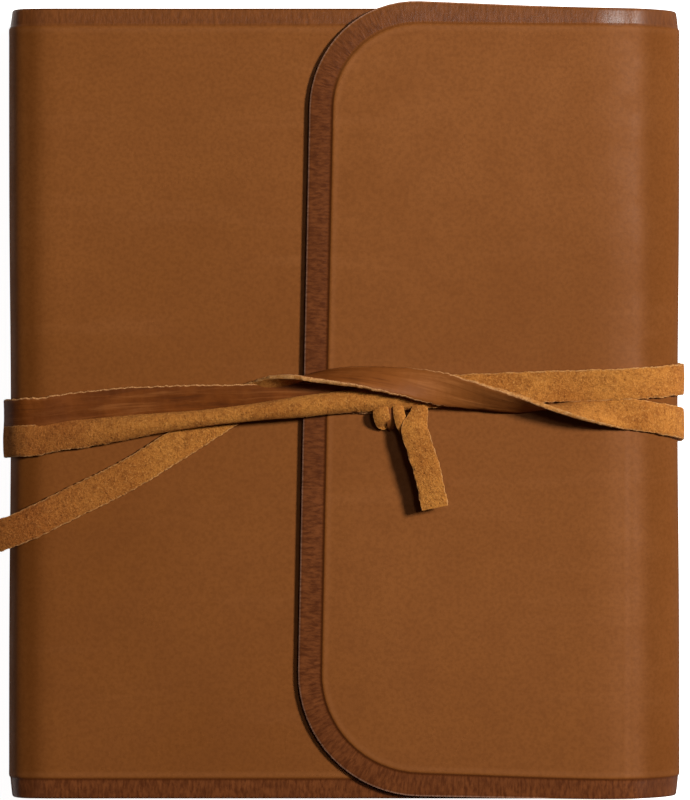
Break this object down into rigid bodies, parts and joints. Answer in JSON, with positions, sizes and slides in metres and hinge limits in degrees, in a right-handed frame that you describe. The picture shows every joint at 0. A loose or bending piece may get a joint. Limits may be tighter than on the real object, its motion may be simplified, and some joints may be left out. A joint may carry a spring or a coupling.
{
  "type": "leather notebook cover",
  "caption": "Wrap-around leather notebook cover with a rounded front flap, inner pockets holding a sewn refill, and a long flat strap wound round it and tied.",
  "frame": {"origin": "on the table, under the middle of the closed cover", "axes": "+X from the spine to the fore-edge, +Y towards the head of the page, +Z from the back cover to the front"},
  "size_m": [0.2359, 0.229, 0.037],
  "materials": {
    "cover_leather": "smooth oiled full grain, satin, with a darker pressed border",
    "lining_leather": "thin leather, flesh side, matt",
    "strap_leather": "split leather: suede on one side, waxed grain on the other",
    "paper": "uncoated ivory paper, cut edges",
    "card": "uncoated brown card",
    "cloth": "plain woven lining cloth",
    "thread": "waxed linen thread"
  },
  "bodies": {
    "back_cover": {"back_panel": "cover_leather", "back_pocket": "lining_leather", "refill_back_card": "card", "page_section_1": "paper", "page_section_2": "paper", "page_section_3": "paper", "page_section_4": "paper", "spine_cloth": "cloth", "binding_thread": "thread", "strap_back_upper": "strap_leather", "strap_back_lower": "strap_leather"},
    "spine": {"spine_panel": "cover_leather"},
    "front_cover": {"front_panel": "cover_leather", "front_pocket": "lining_leather", "refill_front_card": "card"},
    "front_pages": {"page_section_5": "paper", "page_section_6": "paper", "page_section_7": "paper", "page_section_8": "paper"},
    "fore_edge": {"fore_edge_panel": "cover_leather", "strap_fore_upper": "strap_leather", "strap_fore_lower": "strap_leather"},
    "flap": {"flap_panel": "cover_leather", "strap_first_run": "strap_leather", "strap_second_run": "strap_leather", "strap_third_run": "strap_leather", "strap_loose_end": "strap_leather", "strap_knot": "strap_leather", "strap_knot_end": "strap_leather", "strap_spine_upper": "strap_leather", "strap_spine_lower": "strap_leather"}
  },
  "joints": [
    {"name": "cover_open", "type": "hinge", "parent": "back_cover", "child": "spine", "pos_m": [-0.0955, 0, 0.0044], "axis": [0, -1, 0], "range_deg": [0, 90], "deforming": ["spine_panel", "spine_cloth", "binding_thread"]},
    {"name": "front_fold", "type": "hinge", "parent": "spine", "child": "front_cover", "pos_m": [-0.0955, 0, 0.0267], "axis": [0, -1, 0], "range_deg": [0, 90]},
    {"name": "pages_turn", "type": "hinge", "parent": "back_cover", "child": "front_pages", "pos_m": [-0.0949, 0, 0.01555], "axis": [0, -1, 0], "range_deg": [0, 180]},
    {"name": "fore_edge_fold", "type": "hinge", "parent": "back_cover", "child": "fore_edge", "pos_m": [0.09406, 0, 0.00584], "axis": [0, 1, 0], "range_deg": [0, 84], "deforming": ["fore_edge_panel", "strap_fore_upper", "strap_fore_lower"]},
    {"name": "flap_fold", "type": "hinge", "parent": "fore_edge", "child": "flap", "pos_m": [0.09406, 0, 0.02736], "axis": [0, 1, 0], "range_deg": [0, 90], "deforming": ["flap_panel", "strap_first_run", "strap_second_run", "strap_third_run", "strap_loose_end", "strap_knot", "strap_knot_end", "strap_spine_upper", "strap_spine_lower"]}
  ],
  "couplings": [
    {"joint": "front_fold", "follows": "cover_open", "ratio": 1},
    {"joint": "pages_turn", "follows": "cover_open", "ratio": 2},
    {"joint": "fore_edge_fold", "follows": "cover_open", "ratio": 0.93333},
    {"joint": "flap_fold", "follows": "cover_open", "ratio": 1}
  ]
}
